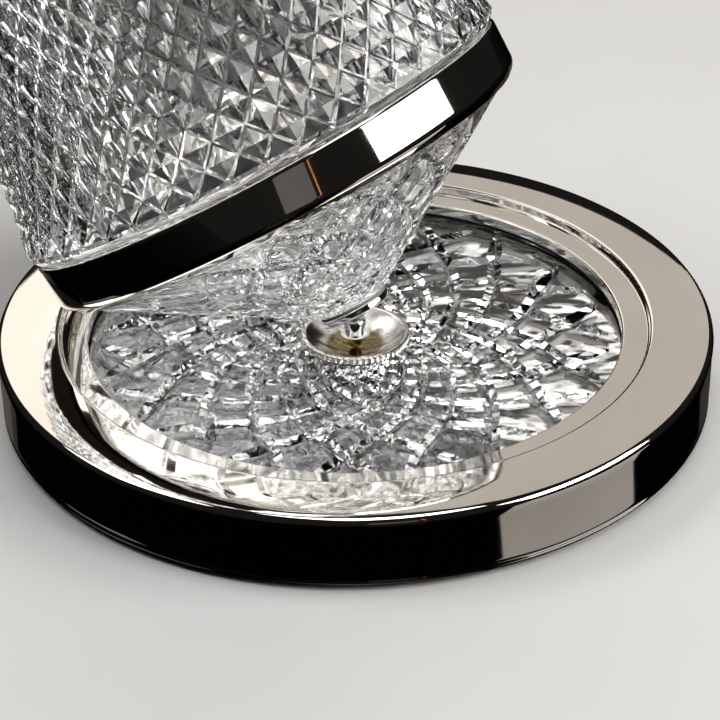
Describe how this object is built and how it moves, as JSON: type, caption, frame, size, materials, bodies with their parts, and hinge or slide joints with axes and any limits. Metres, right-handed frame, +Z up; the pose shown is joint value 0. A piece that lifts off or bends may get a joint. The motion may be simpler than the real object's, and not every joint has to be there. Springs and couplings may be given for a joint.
{
  "type": "spinning-top decanter",
  "caption": "Cut-crystal spinning-top decanter with a metal waist band, leaning on a ball joint in the dished cup of a round metal tray with a crystal plate.",
  "frame": {"origin": "middle of the tray's underside, on the table", "axes": "+Z up along the tray's axis, +X to the right and -Y to the front; the decanter leans to the back left, 147.5 degrees from +X"},
  "size_m": [0.2399, 0.2209, 0.2429],
  "materials": {
    "crystal": "clear lead crystal, deep diamond and spiral cuts, polished",
    "polished_nickel": "mirror polished, slightly warm nickel plate with faint hairlines",
    "chrome": "mirror polished chrome",
    "brass": "polished, lightly worn at the tip",
    "steel": "zinc plated, satin",
    "cast_iron": "as cast, black",
    "black_enamel": "glossy black enamel",
    "rubber": "matt black",
    "silicone": "translucent white, satin",
    "acetal": "smooth white",
    "cement": "matt clear-grey cement",
    "felt": "dense black felt"
  },
  "bodies": {
    "base": {"base_pad": "felt", "cover_plate": "steel", "cover_screw_1": "steel", "cover_screw_2": "steel", "cover_screw_3": "steel", "cover_screw_4": "steel", "ballast_ring": "cast_iron", "deck_plate": "steel", "backing_disc": "black_enamel", "crystal_plate": "crystal", "plate_gasket": "rubber", "tray_shell": "polished_nickel", "cup_gasket": "rubber", "pivot_cup": "polished_nickel", "cup_washer": "steel", "cup_nut": "steel"},
    "tip": {"brass_tip": "brass"},
    "ferrule": {"bell_ferrule": "chrome", "ball_stud": "steel"},
    "seat": {"ball_seat": "acetal"},
    "decanter": {"foot_flange": "chrome", "foot_cement": "cement", "glass_bottle": "crystal", "band_liner": "silicone", "waist_band": "polished_nickel", "collar_liner": "silicone", "neck_collar": "polished_nickel"},
    "stopper": {"stopper_plug": "acetal", "seal_ring_1": "silicone", "seal_ring_2": "silicone", "seal_ring_3": "silicone", "stopper_cap": "polished_nickel", "finial_saucer": "chrome", "crystal_finial": "crystal", "finial_rod": "steel", "finial_button": "polished_nickel"}
  },
  "joints": [
    {"name": "decanter_lift", "type": "slide", "parent": "base", "child": "tip", "axis": [0, 0, 1], "range_m": [0, 0.1]},
    {"name": "decanter_roll", "type": "hinge", "parent": "tip", "child": "ferrule", "pos_m": [0, 0, 0.0303], "axis": [0, 0, 1], "continuous": true},
    {"name": "decanter_tilt", "type": "hinge", "parent": "ferrule", "child": "seat", "pos_m": [0, 0, 0.0303], "axis": [0.5373, 0.8434, 0], "range_deg": [0, 66]},
    {"name": "decanter_spin", "type": "hinge", "parent": "seat", "child": "decanter", "pos_m": [0, 0, 0.0303], "axis": [-0.4593, 0.2926, 0.8387], "continuous": true},
    {"name": "stopper_pull", "type": "slide", "parent": "decanter", "child": "stopper", "axis": [-0.4593, 0.2926, 0.8387], "range_m": [0, 0.06]}
  ]
}
